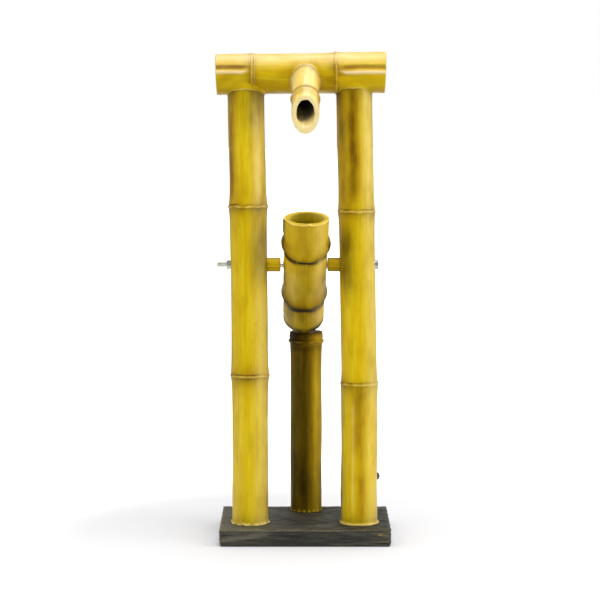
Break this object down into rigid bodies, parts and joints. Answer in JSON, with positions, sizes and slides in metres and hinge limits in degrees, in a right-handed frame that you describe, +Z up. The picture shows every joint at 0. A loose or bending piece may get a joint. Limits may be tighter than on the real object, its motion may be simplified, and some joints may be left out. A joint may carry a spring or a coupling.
{
  "type": "shishi odoshi",
  "caption": "Tipping bamboo water feature: a spout in a cane frame fills a pivoted tube that tips, empties and knocks on a short rear post.",
  "frame": {"origin": "middle of the slab's underside", "axes": "+X to the viewer's right along the crossbeam, +Y to the back (the spout and the tube's mouth point to -Y), +Z up"},
  "size_m": [0.2145, 0.2236, 0.602],
  "materials": {
    "cane": "cast resin, hand-painted as bamboo, semi-gloss",
    "aged_cane": "cast resin, painted as dark aged bamboo, semi-gloss",
    "cut_cane": "cast resin, painted as cut bamboo, satin",
    "slab": "cast resin with a rough slate grain, matt",
    "zinc": "zinc-plated",
    "bush": "turned acetal",
    "weight": "bare",
    "fitting": "moulded, satin",
    "clear_fitting": "moulded, translucent white",
    "hose": "soft clear hose"
  },
  "bodies": {
    "frame": {"base_slab": "slab", "left_post": "cane", "right_post": "cane", "striker_post": "aged_cane", "crossbeam": "cane", "spout": "cane", "left_spacer": "cane", "right_spacer": "cane", "pivot_bolt": "zinc", "pivot_nut": "zinc", "pivot_washers": "zinc", "inlet_elbow": "fitting", "riser_hose": "hose", "riser_elbow": "clear_fitting", "cross_hose": "hose", "spout_elbow": "clear_fitting", "post_screws": "zinc", "screw_washers": "zinc"},
    "tube": {"tipping_tube": "cane", "pivot_sleeve": "bush", "tail_plug": "cut_cane", "counterweight": "weight"}
  },
  "joints": [
    {"name": "tube_tip", "type": "hinge", "parent": "frame", "child": "tube", "pos_m": [0.0001, -0.0332, 0.3414], "axis": [1, 0, 0], "range_deg": [0, 80]}
  ]
}
